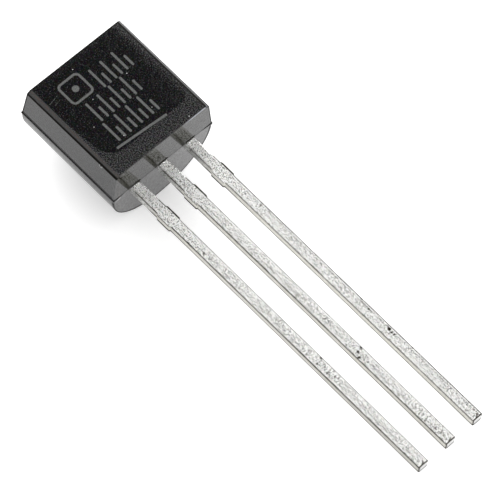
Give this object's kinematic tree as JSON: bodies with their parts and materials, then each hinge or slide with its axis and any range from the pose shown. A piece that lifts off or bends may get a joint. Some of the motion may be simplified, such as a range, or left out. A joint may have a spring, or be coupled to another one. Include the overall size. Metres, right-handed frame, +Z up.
{
  "type": "to-92 transistor",
  "caption": "Moulded black transistor body with a flat face and a round back, on straight in-line leads, lying face up.",
  "frame": {"origin": "middle of the object's box, on the surface it lies on", "axes": "+Y from the tips of the leads to the body; +X across the row of leads, from left to right seen from above with the body away from the viewer; +Z up, which the flat face looks along but for a lean of about 8 degrees"},
  "size_m": [0.0046, 0.0188, 0.0044],
  "materials": {
    "moulding": "black epoxy moulding compound with a light sheen",
    "leads": "matt tin plating, mottled",
    "adhesive": "silver-filled adhesive",
    "silicon": "polished silicon",
    "gold": "drawn gold wire"
  },
  "bodies": {
    "root": {"body": "moulding", "lead_left": "leads", "lead_middle": "leads", "lead_right": "leads", "die_attach": "adhesive", "silicon_die": "silicon", "wire_left": "gold", "wire_right": "gold"}
  },
  "joints": []
}
